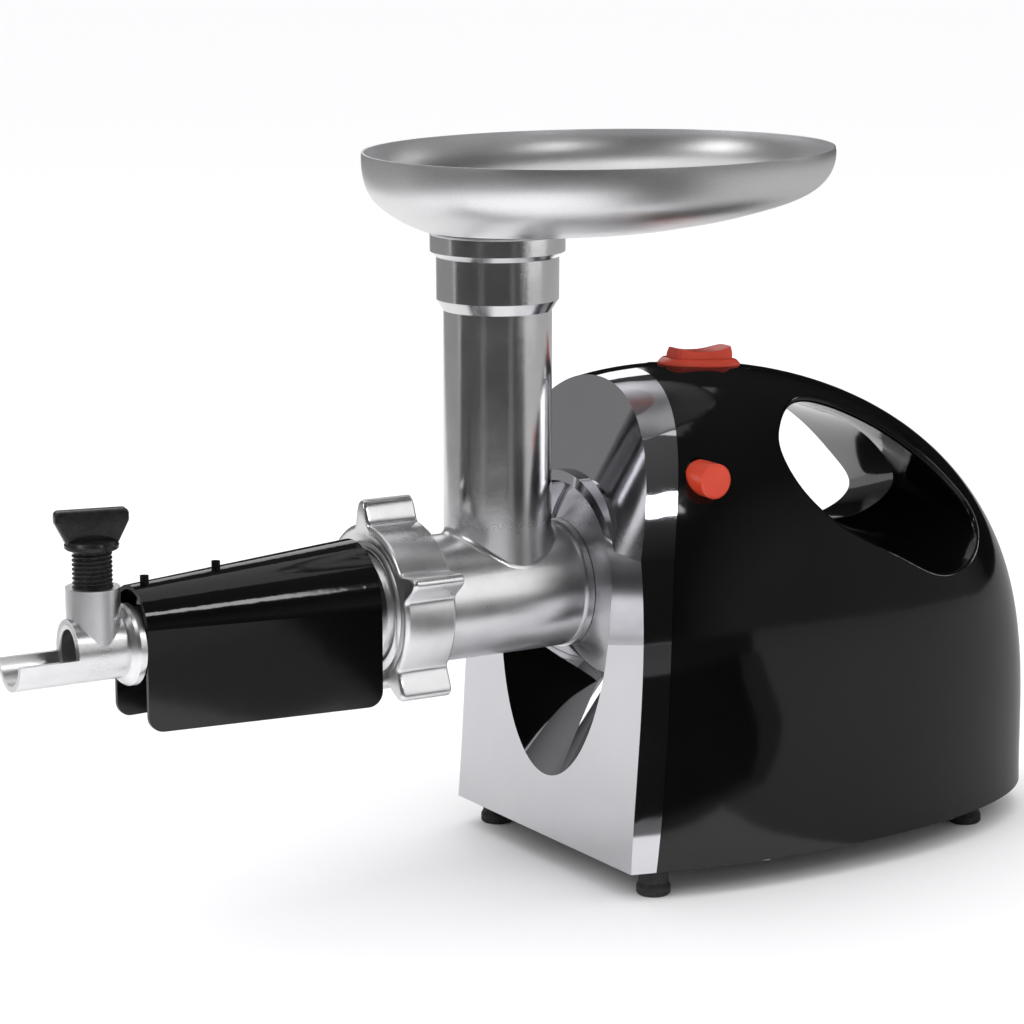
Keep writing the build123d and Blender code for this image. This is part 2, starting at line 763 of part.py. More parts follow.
# Motor rotor: pinion, fan, armature and commutator on one shaft.
motor_axis = Axis((0, 0, MOTOR[1]), (1, 0, 0))
with BuildPart() as rotor:
    add(round_bar(MOTOR, 77, 113, 4.0))
    add(gear(PINION, MODULES[0], 0, MOTOR, 77, 9.5))
    add(round_bar(MOTOR, 94, 2, 30))
    with Locations(Plane(origin=(96, *MOTOR), x_dir=(0, 1, 0), z_dir=(1, 0, 0))):
        with PolarLocations(20, 11):
            Box(17, 1.4, 5.5, align=(Align.CENTER, Align.CENTER, Align.MIN))
    add(turned([(94, 0), (94, 8), (103, 8), (105, 16), (110, 16), (110, 0)], motor_axis, MOTOR[1]))
    add(round_bar(MOTOR, 109.9, 40.2, 20))
    add(turned([(150, 0), (150, 16), (158, 16), (162, 11), (175, 11), (175, 0)], motor_axis, MOTOR[1]))
rotor.part.label = "motor_rotor"
export_step(rotor.part, "parts/motor_rotor.step")

with BuildPart() as stator:
    with BuildSketch(across(110)):
        with Locations(MOTOR):
            Circle(36)
            Circle(20.6, mode=Mode.SUBTRACT)
            with PolarLocations(26, 2, start_angle=0):
                Rectangle(6, 22, mode=Mode.SUBTRACT)
    extrude(amount=40)
stator.part.label = "motor_stator"
export_step(stator.part, "parts/motor_stator.step")

with BuildPart() as field_windings:
    add(turned([(103, 22.5), (103, 28), (105, 29.5), (109.8, 29.5), (109.8, 22.5)], motor_axis, MOTOR[1]))
    add(turned([(150.2, 22.5), (150.2, 29.5), (155, 29.5), (157, 28), (157, 22.5)], motor_axis, MOTOR[1]))
field_windings.part.label = "field_windings"
export_step(field_windings.part, "parts/field_windings.step")

with BuildPart() as motor_bracket:
    with BuildSketch(across(181)):
        with Locations(MOTOR):
            Circle(36)
            Circle(4.06, mode=Mode.SUBTRACT)
            with PolarLocations(20, 6, start_angle=30):
                Circle(6, mode=Mode.SUBTRACT)
    extrude(amount=5)
    with Locations((150.3, 0, MOTOR[1] + 33), (150.3, 0, MOTOR[1] - 33)):
        Box(31, 12, 5, align=(Align.MIN, Align.CENTER, Align.CENTER))
motor_bracket.part.label = "motor_bracket"
export_step(motor_bracket.part, "parts/motor_bracket.step")

with BuildPart() as brush_holders:
    with Locations((172.4, 20.5, MOTOR[1]), (172.4, -20.5, MOTOR[1])):
        Box(16.8, 16, 12)
    with Locations((169, 20.5, MOTOR[1]), (169, -20.5, MOTOR[1])):
        Box(6.4, 20, 8.4, mode=Mode.SUBTRACT)
brush_holders.part.label = "brush_holders"
export_step(brush_holders.part, "parts/brush_holders.step")

with BuildPart() as brushes:
    with Locations((169, 18.2, MOTOR[1]), (169, -18.2, MOTOR[1])):
        Box(6.0, 14, 8.0)
brushes.part.label = "brushes"
export_step(brushes.part, "parts/brushes.step")

with BuildPart() as motor_cradle:
    with Locations((130, 0, 16.9)):
        Box(34, 52, 16, align=(Align.CENTER, Align.CENTER, Align.MIN))
    add(round_bar(MOTOR, 100, 60, 36.1), mode=Mode.SUBTRACT)
motor_cradle.part.label = "motor_cradle"
export_step(motor_cradle.part, "parts/motor_cradle.step")

with BuildPart() as first_shaft:
    add(round_bar(SHAFT_B, 49, 43, 4.0))
    add(gear(PINION, MODULES[1], 0, SHAFT_B, 65.8, 11.6))
    add(gear(WHEELS[0], MODULES[0], phase_b_wheel, SHAFT_B, 77.6, 8.0))
    with Locations(Plane(origin=(77.6, *SHAFT_B), x_dir=(0, 1, 0), z_dir=(1, 0, 0))):
        with PolarLocations(19, 6):
            Cylinder(5.5, 30, mode=Mode.SUBTRACT)
first_shaft.part.label = "first_gear_shaft"
export_step(first_shaft.part, "parts/first_gear_shaft.step")

with BuildPart() as second_shaft:
    add(round_bar(SHAFT_C, 49, 43, 4.0))
    add(gear(PINION, MODULES[2], 0, SHAFT_C, 52.6, 14))
    add(gear(WHEELS[1], MODULES[1], phase_c_wheel, SHAFT_C, 66.6, 9.4))
second_shaft.part.label = "second_gear_shaft"
export_step(second_shaft.part, "parts/second_gear_shaft.step")

with BuildPart() as output_spindle:
    add(gear(WHEELS[2], MODULES[2], phase_out, OUTPUT, 53.2, 12.0))
    add(round_bar(OUTPUT, 33, 31, 7.0))
    with BuildSketch(across(18)):
        with Locations(OUTPUT):
            RegularPolygon(6.6, 6)
    extrude(amount=16)
output_spindle.part.label = "output_spindle"
export_step(output_spindle.part, "parts/output_spindle.step")

with BuildPart() as output_bush:
    bush_line = [(47.7, 7.06), (47.7, 10), (51.6, 10), (51.6, 12.5), (53.0, 12.5), (53.0, 7.06)]
    add(turned(bush_line, drive_axis, AXIS_Z))
output_bush.part.label = "output_bush"
export_step(output_bush.part, "parts/output_bush.step")


def case_block(x, thickness, grow):
    """Block whose outline is a rounded hull round the gear circles."""
    with BuildPart() as block:
        with BuildSketch(across(x)):
            with Locations(SHAFT_B, SHAFT_C):
                Circle(33.5 + grow)
            with Locations(OUTPUT):
                Circle(31 + grow)
            with Locations(MOTOR):
                Circle(9 + grow)
            make_hull()
        extrude(amount=thickness)
    return block.part


with BuildPart() as gear_case:
    add(case_block(48, 40, 3))
    add(case_block(51.5, 60, 0), mode=Mode.SUBTRACT)
    add(round_bar(OUTPUT, 40, 20, 10.05), mode=Mode.SUBTRACT)
    add(round_bar(SHAFT_B, 40, 20, 4.06), mode=Mode.SUBTRACT)
    add(round_bar(SHAFT_C, 40, 20, 4.06), mode=Mode.SUBTRACT)
gear_case.part.label = "gear_case"
export_step(gear_case.part, "parts/gear_case.step")

with BuildPart() as gear_cover:
    add(case_block(88.2, 4, 3))
    for shaft in (MOTOR, SHAFT_B, SHAFT_C):
        add(round_bar(shaft, 80, 20, 4.06), mode=Mode.SUBTRACT)
gear_cover.part.label = "gear_cover"
export_step(gear_cover.part, "parts/gear_cover.step")


def flight(x, length, core, reach, turns):
    """Round core with one wing, twisted along the drive axis toward the outlet."""
    with BuildSketch(across(x)) as form:
        with Locations((0, AXIS_Z)):
            Circle(core)
        with Locations((0, AXIS_Z + reach / 2)):
            Rectangle(9, reach)
        with Locations((0, AXIS_Z)):
            Circle(reach, mode=Mode.INTERSECT)
    return Solid.extrude_linear_with_rotation(
        form.sketch.face(), (x, 0, AXIS_Z), (length, 0, 0), 360 * turns
    )


# The auger: a wide flight in the barrel, then a slim one inside the strainer.
with BuildPart() as auger:
    add(turned([(19.6, 0), (19.6, 14.0), (44, 14.0), (44, 0)], drive_axis, AXIS_Z))
    add(turned([(-198, 0), (-198, 6), (-85, 10), (19.7, 11), (19.7, 0)], drive_axis, AXIS_Z))
    add(flight(-84, 101, 9.5, 23.4, 3.2))
    add(flight(-194, 100, 6.5, 11.6, 4.0))
    with BuildSketch(across(17.5)):
        with Locations(OUTPUT):
            RegularPolygon(6.8, 6)
    extrude(amount=15, mode=Mode.SUBTRACT)
    add(round_bar(OUTPUT, 32, 20, 7.4), mode=Mode.SUBTRACT)
auger.part.label = "auger"
export_step(auger.part, "parts/auger.step")

# Release button, its lock bar and the pin that holds the head.
with BuildPart() as release_button:
    with BuildSketch(button_plane.offset(61.5)):
        Circle(BUTTON_R)
    extrude(amount=14.5)
    chamfer(faces().sort_by(Axis.Y)[0].edges(), 1.0)
    with BuildSketch(button_plane.offset(38)):
        Circle(4.0)
    extrude(amount=24)
release_button.part.label = "release_button"
export_step(release_button.part, "parts/release_button.step")

spring_path = Helix(2.08, 10.4, 6.0, center=(BUTTON_X, -50.55, BUTTON_Z), direction=(0, -1, 0))
with BuildPart() as button_spring:
    with BuildSketch(Plane(origin=spring_path @ 0, z_dir=spring_path % 0)):
        RegularPolygon(0.55, 6)
    sweep(path=spring_path, is_frenet=True)
button_spring.part.label = "button_spring"
export_step(button_spring.part, "parts/button_spring.step")

with BuildPart() as lock_bar:
    with Locations((LOCK_X, -47.5, 173)):
        Box(8.4, 63.5, 18, align=(Align.CENTER, Align.MIN, Align.MIN))
        Box(5.6, 63.5, 15, align=(Align.CENTER, Align.MIN, Align.MIN), mode=Mode.SUBTRACT)
    with Locations((BUTTON_X - 1.2, -47.5, 178)):
        Box(12, 5, 22, align=(Align.CENTER, Align.MIN, Align.MIN))
    with BuildSketch(button_plane.offset(30)):
        Circle(4.05)
    extrude(amount=20, mode=Mode.SUBTRACT)
    with BuildSketch(across(LOCK_X - 20)):
        with Locations(Location((-2.5, 182), 180 - 38.66)):
            SlotCenterToCenter(9.0, 3.2)
    extrude(amount=40, mode=Mode.SUBTRACT)
lock_bar.part.label = "lock_bar"
export_step(lock_bar.part, "parts/lock_bar.step")

with BuildPart() as lock_pin:
    with Locations((LOCK_X, 0, AXIS_Z + 24.5)):
        Cylinder(2.5, 23.5, align=(Align.CENTER, Align.CENTER, Align.MIN))
    with BuildSketch(across(LOCK_X - 4.2)):
        with Locations((0, 180)):
            Circle(1.5)
    extrude(amount=8.4)
lock_pin.part.label = "lock_pin"
export_step(lock_pin.part, "parts/lock_pin.step")

# Rocker switch, tilted with the slope of the housing's top.
with BuildPart() as switch_bezel:
    with BuildSketch(switch_plane.offset(-0.8)):
        RectangleRounded(47, 25, 2.5)
    extrude(amount=2.6)
    chamfer(faces().sort_by(Axis((0, 0, 0), switch_plane.z_dir))[-1].edges(), 1.5)
    with Locations(switch_plane.offset(-14)):
        Box(42.6, 21.6, 13.4, align=(Align.CENTER, Align.CENTER, Align.MIN))
    with Locations(switch_plane):
        Box(39.6, 16.0, 60, mode=Mode.SUBTRACT)
switch_bezel.part.label = "switch_bezel"
export_step(switch_bezel.part, "parts/switch_bezel.step")

rocker_side = Plane(origin=switch_plane.origin, x_dir=switch_plane.x_dir, z_dir=(0, -1, 0))
with BuildPart() as rocker:
    with BuildSketch(rocker_side):
        with BuildLine():
            Spline((-17.2, 7.2), (-9, 5.0), (0, 4.2), (9, 5.0), (17.2, 7.2))
            Polyline((17.2, 7.2), (18.4, 1.0), (11, -8), (-11, -8), (-18.4, 1.0), (-17.2, 7.2))
        make_face()
        with Locations((0, -3)):
            Circle(2.05, mode=Mode.SUBTRACT)
    extrude(amount=7.5, both=True)
rocker.part.label = "rocker"
export_step(rocker.part, "parts/rocker.step")

with BuildPart() as rocker_pin:
    with BuildSketch(rocker_side):
        with Locations((0, -3)):
            Circle(2.0)
    extrude(amount=7.95, both=True)
rocker_pin.part.label = "rocker_pin"
export_step(rocker_pin.part, "parts/rocker_pin.step")

with BuildPart() as switch_body:
    with Locations(switch_plane.offset(-24)):
        with Locations((-21.3, 0, 0)):
            Box(29, 21.6, 9.9, align=(Align.MIN, Align.CENTER, Align.MIN))
    with Locations(switch_plane.offset(-32)):
        with Locations((-6.8, 0, 0)):
            with GridLocations(9, 10, 3, 2):
                Box(1, 5, 8.5, align=(Align.CENTER, Align.CENTER, Align.MIN))
switch_body.part.label = "switch_body"
export_step(switch_body.part, "parts/switch_body.step")
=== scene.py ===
from math import cos, radians, sin

import bmesh
import bpy
import numpy as np
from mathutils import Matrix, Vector


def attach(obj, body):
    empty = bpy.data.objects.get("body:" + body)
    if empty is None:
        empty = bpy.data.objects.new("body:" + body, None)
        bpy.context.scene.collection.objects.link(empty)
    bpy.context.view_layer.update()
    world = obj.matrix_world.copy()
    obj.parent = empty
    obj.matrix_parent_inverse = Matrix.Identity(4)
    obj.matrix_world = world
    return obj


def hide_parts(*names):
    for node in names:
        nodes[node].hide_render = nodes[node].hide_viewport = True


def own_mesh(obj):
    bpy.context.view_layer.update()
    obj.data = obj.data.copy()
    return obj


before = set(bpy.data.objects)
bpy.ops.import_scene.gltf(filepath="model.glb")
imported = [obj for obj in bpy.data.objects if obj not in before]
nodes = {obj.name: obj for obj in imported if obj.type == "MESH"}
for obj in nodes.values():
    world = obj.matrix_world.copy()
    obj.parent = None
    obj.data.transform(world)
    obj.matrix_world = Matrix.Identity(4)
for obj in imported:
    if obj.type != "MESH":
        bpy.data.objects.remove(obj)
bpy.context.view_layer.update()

# The studio: a wide pale floor under a soft sky that is brighter overhead, a few
# softboxes, and the camera where the photographer stood.
floor_side, floor_colour = 30.0, (0.88, 0.88, 0.89)
view_azimuth = radians(-31.0)


def stage_sheet(name, corners, colour):
    """A flat matt sheet of the studio, through its corners in order."""
    mesh = bpy.data.meshes.new(name)
    mesh.from_pydata(corners.tolist(), [], [tuple(range(len(corners)))])
    sheet = bpy.data.objects.new(name, mesh)
    bpy.context.scene.collection.objects.link(sheet)
    paint = bpy.data.materials.new(name)
    paint.use_nodes = True
    shader = paint.node_tree.nodes["Principled BSDF"]
    shader.inputs["Base Color"].default_value = (*colour, 1)
    shader.inputs["Roughness"].default_value = 1
    shader.inputs["Specular IOR Level"].default_value = 0
    mesh.materials.append(paint)
    return sheet


square = np.array([(-1, -1, 0), (1, -1, 0), (1, 1, 0), (-1, 1, 0)])
stage_sheet("floor", square * floor_side / 2, floor_colour)

# Drapes: sheets on the floor and a dark tent round the machine. Only polished faces
# mirror them, so that the metal and the gloss stay deep while the light stays soft.
front = np.array((sin(view_azimuth), -cos(view_azimuth), 0))
beside = np.array((cos(view_azimuth), sin(view_azimuth), 0))
upright = np.array((0, 0, 1))
near, far, layer_rise, tent_radius = 0.7, 3.4, 0.0005, 3.5


def heading(bearing, elevation):
    """Direction from the machine: degrees round from the camera toward its right, and degrees up."""
    level = cos(radians(bearing)) * front + sin(radians(bearing)) * beside
    return cos(radians(elevation)) * level + sin(radians(elevation)) * upright


def floor_patch(name, corners, layer, grey):
    """A sheet on the floor through (ahead, aside) corners, seen from the machine toward the camera."""
    ahead, aside = np.array(corners).T[..., None]
    points = ahead * front + aside * beside + layer * layer_rise * upright
    return stage_sheet(name, points, (grey, grey, grey))


def floor_sector(name, start, stop, layer, grey):
    """A patch between two bearings in degrees from the camera's side, from near to far."""
    angle = np.radians(np.linspace(start, stop, 16))
    arc = np.stack([np.cos(angle), np.sin(angle)], axis=1)
    return floor_patch(name, np.concatenate([near * arc, far * arc[::-1]]), layer, grey)


side_outline = [
    (0.17, 0.11),
    (0.17, 0.18),
    (0.16, 0.21),
    (0.15, 0.25),
    (0.17, 0.30),
    (0.21, 0.37),
    (0.29, 0.46),
    (0.45, 0.65),
    (0.75, 1.05),
    (0.75, 0.50),
]
side_border = [
    (0.155, 0.100),
    (0.155, 0.175),
    (0.145, 0.210),
    (0.135, 0.262),
    (0.155, 0.325),
    (0.190, 0.405),
    (0.265, 0.510),
    (0.410, 0.720),
    (0.690, 1.130),
    (0.750, 0.500),
]
left_corners = [(-far, -far), (0.05, -far), (0.05, 0), (-far, 0)]
right_corners = [(-far, 0.2), (far, 0.2), (far, far), (-far, far)]
far_left_corners = [(-far, -far), (0.1, -far), (0.1, -0.75), (-far, -0.75)]
guard_corners = [(0.34, 0.14), (0.5, 0.14), (0.5, 0.34), (0.34, 0.34)]
drapes = [
    floor_patch("left_sheet", left_corners, layer=1, grey=0.66),
    floor_patch("right_sheet", right_corners, layer=1, grey=0.36),
    floor_patch("far_left_sheet", far_left_corners, layer=2, grey=0.22),
    floor_patch("guard_sheet", guard_corners, layer=2, grey=0.26),
    floor_sector("black_sheet", start=-85, stop=57, layer=3, grey=0.045),
    floor_sector("left_strip", start=-35, stop=-25, layer=4, grey=0.10),
    floor_sector("right_strip", start=24, stop=31, layer=4, grey=0.14),
    floor_patch("side_border", side_border, layer=5, grey=0.12),
    floor_patch("side_sheet", side_outline, layer=6, grey=0.006),
]


class Field:
    """A value that varies over a surface: sums and products of it add Math nodes."""

    def __init__(self, tree, socket=None):
        self.tree = tree
        self.socket = socket

    def make(self, kind, settings, sockets, output=0):
        """Add a node: its settings first, then the values or links of its sockets."""
        node = self.tree.nodes.new("ShaderNode" + kind)
        for name, value in settings.items():
            if name == "stops":
                for place, _ in value[2:]:
                    node.color_ramp.elements.new(place)
                for element, (place, colour) in zip(node.color_ramp.elements, value):
                    element.position = place
                    element.color = (*colour, 1)
            else:
                setattr(node, name, value)
        for name, value in sockets.items():
            if isinstance(value, Field):
                self.tree.links.new(value.socket, node.inputs[name])
            else:
                node.inputs[name].default_value = value
        return Field(self.tree, node.outputs[output])

    def into(self, shader, name):
        self.tree.links.new(self.socket, shader.inputs[name])

    def math(self, operation, first, second):
        return self.make("Math", {"operation": operation}, {0: first, 1: second})

    def __add__(self, other):
        return self.math("ADD", self, other)

    def __mul__(self, other):
        return self.math("MULTIPLY", self, other)


# A small dark card under the barrel, black only from below: the polished scoop in the
# panel mirrors it, and nothing else does.
shade_low, shade_high, shade_z, shade_grey = (-0.062, -0.022), (0.014, 0.032), 0.104, 0.004
shade_corners = [
    (shade_low[0], shade_low[1], shade_z),
    (shade_high[0], shade_low[1], shade_z),
    (shade_high[0], shade_high[1], shade_z),
    (shade_low[0], shade_high[1], shade_z),
]
shade_card = stage_sheet("shade_card", np.array(shade_corners), (shade_grey, shade_grey, shade_grey))
drapes.append(shade_card)
shade_tree = shade_card.data.materials[0].node_tree
below = Field(shade_tree).make("NewGeometry", {}, {}, output="Backfacing")
clear = Field(shade_tree).make("BsdfTransparent", {}, {})
black = Field(shade_tree, shade_tree.nodes["Principled BSDF"].outputs[0])
one_sided = below.make("MixShader", {}, {0: below, 1: clear, 2: black})
one_sided.into(shade_tree.nodes["Material Output"], "Surface")


def dome_rings(radius, rows=16, columns=64):
    """Half sphere from the floor up: rows of latitude, columns of longitude."""
    climb, turn = np.meshgrid(
        np.linspace(0, np.pi / 2, rows + 1)[:-1], 2 * np.pi * np.arange(columns) / columns, indexing="ij"
    )
    level = np.cos(climb)
    return radius * np.stack([np.cos(turn) * level, np.sin(turn) * level, np.sin(climb)], axis=-1)


def ring_faces(rows, columns, first):
    """Quads between rows of points: point (row, column) is first + row * columns + column."""
    row, column = np.meshgrid(np.arange(rows - 1), np.arange(columns), indexing="ij")
    after = (column + 1) % columns
    quads = np.stack([row * columns + column, row * columns + after], axis=-1)
    return np.concatenate([quads, quads[..., ::-1] + columns], axis=-1).reshape(-1, 4) + first


dome_points = dome_rings(tent_radius)
tent_mesh = bpy.data.meshes.new("dark_tent")
dome_faces = ring_faces(*dome_points.shape[:2], 0)
tent_mesh.from_pydata(dome_points.reshape(-1, 3).tolist(), [], dome_faces.tolist())
tent_mesh.shade_smooth()
tent = bpy.data.objects.new("dark_tent", tent_mesh)
bpy.context.scene.collection.objects.link(tent)
tent_cloth = bpy.data.materials.new("dark_tent")
tent_cloth.use_nodes = True
tent_shader = tent_cloth.node_tree.nodes["Principled BSDF"]
tent_shader.inputs["Base Color"].default_value = (0, 0, 0, 1)
tent_shader.inputs["Specular IOR Level"].default_value = 0
tent_shader.inputs["Emission Strength"].default_value = 1
spot = Field(tent_cloth.node_tree).make("TexCoord", {}, {}, output="Object")


def glow(way, stops):
    """Grey level by how far a point of the tent lies toward a direction.

    A share of 1 is straight that way, 0 square to it.
    """
    share = spot.make(
        "VectorMath", {"operation": "DOT_PRODUCT"}, {0: spot, 1: tuple(way / tent_radius)}, output="Value"
    )
    greys = [(place, (level, level, level)) for place, level in stops]
    return spot.make("ValToRGB", {"stops": greys}, {"Fac": share})


panel_glow = glow(heading(-116, 0), [(0.5, 0.008), (0.85, 0.15), (0.98, 0.23)])
side_glow = glow(heading(80, -10), [(0.70, 0.0), (0.88, 0.19)])
roof_glow = glow(upright, [(0.3, 0.0), (0.95, 0.08)])
(panel_glow + side_glow + roof_glow).into(tent_shader, "Emission Color")
tent_mesh.materials.append(tent_cloth)
for drape in (*drapes, tent):
    drape.visible_camera = drape.visible_diffuse = drape.visible_shadow = False
    drape.visible_transmission = False

world = bpy.data.worlds.new("studio")
world.use_nodes = True
bpy.context.scene.world = world
sky = world.node_tree.nodes
direction = sky.new("ShaderNodeTexCoord")
split = sky.new("ShaderNodeSeparateXYZ")
dome = sky.new("ShaderNodeValToRGB")
dome.color_ramp.elements[0].position = 0.10
dome.color_ramp.elements[0].color = (0.6, 0.6, 0.61, 1)
dome.color_ramp.elements[1].position = 0.70
dome.color_ramp.elements[1].color = (1.0, 1.0, 1.0, 1)
world.node_tree.links.new(direction.outputs["Generated"], split.inputs[0])
world.node_tree.links.new(split.outputs["Z"], dome.inputs[0])
world.node_tree.links.new(dome.outputs[0], sky["Background"].inputs["Color"])
sky["Background"].inputs["Strength"].default_value = 1.2


def softbox(name, place, aim, wide, high, watts):
    """A rectangular area light at place, turned to face aim."""
    lamp = bpy.data.lights.new(name, "AREA")
    lamp.shape = "RECTANGLE"
    lamp.size = wide
    lamp.size_y = high
    lamp.energy = watts
    box = bpy.data.objects.new(name, lamp)
    box.location = place
    box.rotation_euler = (Vector(aim) - Vector(place)).to_track_quat("-Z", "Y").to_euler()
    bpy.context.scene.collection.objects.link(box)
    return box


edge_place = heading(112, 16) * 2.0 + 0.15 * upright
softbox("key_left", place=(-1.9, -0.3, 1.5), aim=(0, 0, 0.15), wide=0.8, high=1.2, watts=8)
softbox("glint_right", place=(0.184, -1.105, 0.871), aim=(-0.05, 0, 0.17), wide=0.2, high=0.2, watts=1.0)
softbox("edge_right", place=edge_place, aim=(0.1, 0, 0.2), wide=0.2, high=0.4, watts=0.8)
softbox("top", place=(0.1, 0.3, 1.9), aim=(0, 0, 0.1), wide=2.0, high=1.6, watts=7)
softbox("back", place=(0.5, 2.0, 1.2), aim=(0, 0, 0.2), wide=1.6, high=0.7, watts=5)

lens_target = Vector((-0.0255, 0.0, 0.135))
lens_elevation, lens_distance = radians(12.5), 1.647
lens = bpy.data.cameras.new("camera")
lens.lens = 124.6
lens.sensor_width = 36
lens.shift_x = 0.0142
lens.shift_y = 0.0762
camera = bpy.data.objects.new("camera", lens)
toward = Vector(
    (
        sin(view_azimuth) * cos(lens_elevation),
        -cos(view_azimuth) * cos(lens_elevation),
        sin(lens_elevation),
    )
)
camera.location = lens_target + toward * lens_distance
camera.rotation_euler = toward.to_track_quat("Z", "Y").to_euler()
bpy.context.scene.collection.objects.link(camera)
bpy.context.scene.camera = camera
bpy.context.scene.view_settings.view_transform = "Standard"


# Housing shells and guard: ABS mouldings polished to a deep black gloss. The gloss has
# a faint orange peel and the smudges of handling.
def finish(name, **constants):
    """A new material: its shader with constant sockets set, and the object's coordinates as a Field."""
    material = bpy.data.materials.new(name)
    material.use_nodes = True
    shader = material.node_tree.nodes["Principled BSDF"]
    for socket, value in constants.items():
        shader.inputs[socket].default_value = value
    place = Field(material.node_tree).make("TexCoord", {}, {}, output="Object")
    return material, shader, place


def noise(place, scale, detail, roughness=0.5):
    """Cloudy noise between 0 and 1, with features about 1/scale metres wide."""
    return place.make(
        "TexNoise", {}, {"Vector": place, "Scale": scale, "Detail": detail, "Roughness": roughness}
    )


def colour_by(shader, field, *stops):
    """Base colour that runs through (value, colour) stops as the field goes from 0 to 1."""
    field.make("ValToRGB", {"stops": stops}, {"Fac": field}).into(shader, "Base Color")


def relief(shader, height, distance):
    """Tilt the surface by a height field whose full range is distance metres."""
    sockets = {"Height": height, "Distance": distance, "Strength": 1.0}
    height.make("Bump", {}, sockets).into(shader, "Normal")


def dress(material, *names):
    """Give CAD nodes their material."""
    for name in names:
        for slot in nodes[name].material_slots:
            slot.material = material


black_gloss, shader, place = finish("black_gloss", IOR=1.5)
smudge = noise(place, scale=14.0, detail=4.0, roughness=0.6)
colour_by(shader, smudge, (0.3, (0.0018, 0.0018, 0.002)), (0.7, (0.0032, 0.0032, 0.0035)))
(smudge * 0.06 + 0.05).into(shader, "Roughness")
relief(shader, noise(place, scale=90.0, detail=1.0), distance=0.00002)
dress(black_gloss, "housing_left", "housing_right", "juice_guard")

# Front panel: an ABS moulding with bright chrome plating. The plating copies the
# slight waves of the moulding, and carries a faint haze of wiping marks.
chrome, shader, place = finish("chrome", Metallic=1.0)
haze = noise(place, scale=22.0, detail=4.0, roughness=0.6)
colour_by(shader, haze, (0.3, (0.66, 0.66, 0.69)), (0.7, (0.70, 0.70, 0.73)))
(haze * 0.05 + 0.025).into(shader, "Roughness")
relief(shader, noise(place, scale=30.0, detail=1.0), distance=0.00008)
dress(chrome, "front_panel")

# Base plate, gland and feet: dark polypropylene and black rubber, both matt, with
# a spark-eroded grain and a little dust in the rubber.
dark_plastic, shader, place = finish("dark_plastic", IOR=1.48)
grain = noise(place, scale=1400.0, detail=2.0)
colour_by(shader, grain, (0.35, (0.010, 0.010, 0.011)), (0.65, (0.018, 0.018, 0.019)))
(grain * 0.2 + 0.25).into(shader, "Roughness")
relief(shader, grain, distance=0.00006)
dress(dark_plastic, "base_plate", "cord_gland", "switch_body", "motor_cradle")

foot_rubber, shader, place = finish("foot_rubber", IOR=1.5)
dust = noise(place, scale=420.0, detail=4.0, roughness=0.7)
colour_by(shader, dust, (0.4, (0.010, 0.010, 0.010)), (0.75, (0.035, 0.034, 0.033)))
(dust * 0.25 + 0.5).into(shader, "Roughness")
relief(shader, dust, distance=0.0001)
dress(foot_rubber, "foot_front_left", "foot_front_right", "foot_rear_left", "foot_rear_right")

# Adjusting screw: one black moulding with a coarse right-hand thread, a stepped
# collar and a wing for the fingers. It turns in the spout's boss, on the pad.
boss_x = -0.2305
thread_foot, thread_head = 0.152, 0.1775
thread_root, thread_crest, thread_pitch, thread_flat = 0.0079, 0.00885, 0.002, 0.15
stem_line = [(0, 0.148), (0.0017, 0.148), (0.002, 0.1483), (0.002, 0.1525), (0, 0.1525)]
collar_line = [
    (0, 0.1768),
    (0.0112, 0.1768),
    (0.0119, 0.1774),
    (0.012, 0.1789),
    (0.0116, 0.1793),
    (0.0115, 0.1803),
    (0.0111, 0.1807),
    (0, 0.1807),
]
wing_corners = [
    (-0.0112, 0.1790),
    (-0.0163, 0.1890),
    (-0.0163, 0.1942),
    (0.0163, 0.1942),
    (0.0163, 0.1890),
    (0.0112, 0.1790),
]
wing_half, wing_edge, wing_corner, wing_turn = 0.0036, 0.0014, 0.0022, radians(-12)


def turned_rings(line, columns):
    """Rings of a turned form: at each (radius, height) of the line, a full circle about Z."""
    radius, height = np.array(line, dtype=float).T
    angle = 2 * np.pi * np.arange(columns) / columns
    rings = np.empty((len(radius), columns, 3))
    rings[..., 0] = radius[:, None] * np.cos(angle)
    rings[..., 1] = radius[:, None] * np.sin(angle)
    rings[..., 2] = height[:, None]
    return rings


def thread_rings(foot, head, root, crest, pitch, columns=72, steps=12):
    """Threaded bar: its radius follows a rounded ridge of the phase height / pitch - angle / turn.

    The ridge is flat at its root and its crest for thread_flat of half a pitch.
    """
    height = np.linspace(foot, head, int((head - foot) / pitch * steps))
    angle = np.arange(columns) / columns
    phase = (height[:, None] / pitch - angle) % 1.0
    ridge = np.clip((1 - np.abs(2 * phase - 1) - thread_flat) / (1 - 2 * thread_flat), 0, 1)
    radius = root + (crest - root) * ridge * ridge * (3 - 2 * ridge)
    radius[0] = radius[-1] = 0
    rings = np.empty((len(height), columns, 3))
    rings[..., 0] = radius * np.cos(2 * np.pi * angle)
    rings[..., 1] = radius * np.sin(2 * np.pi * angle)
    rings[..., 2] = height[:, None]
    return rings


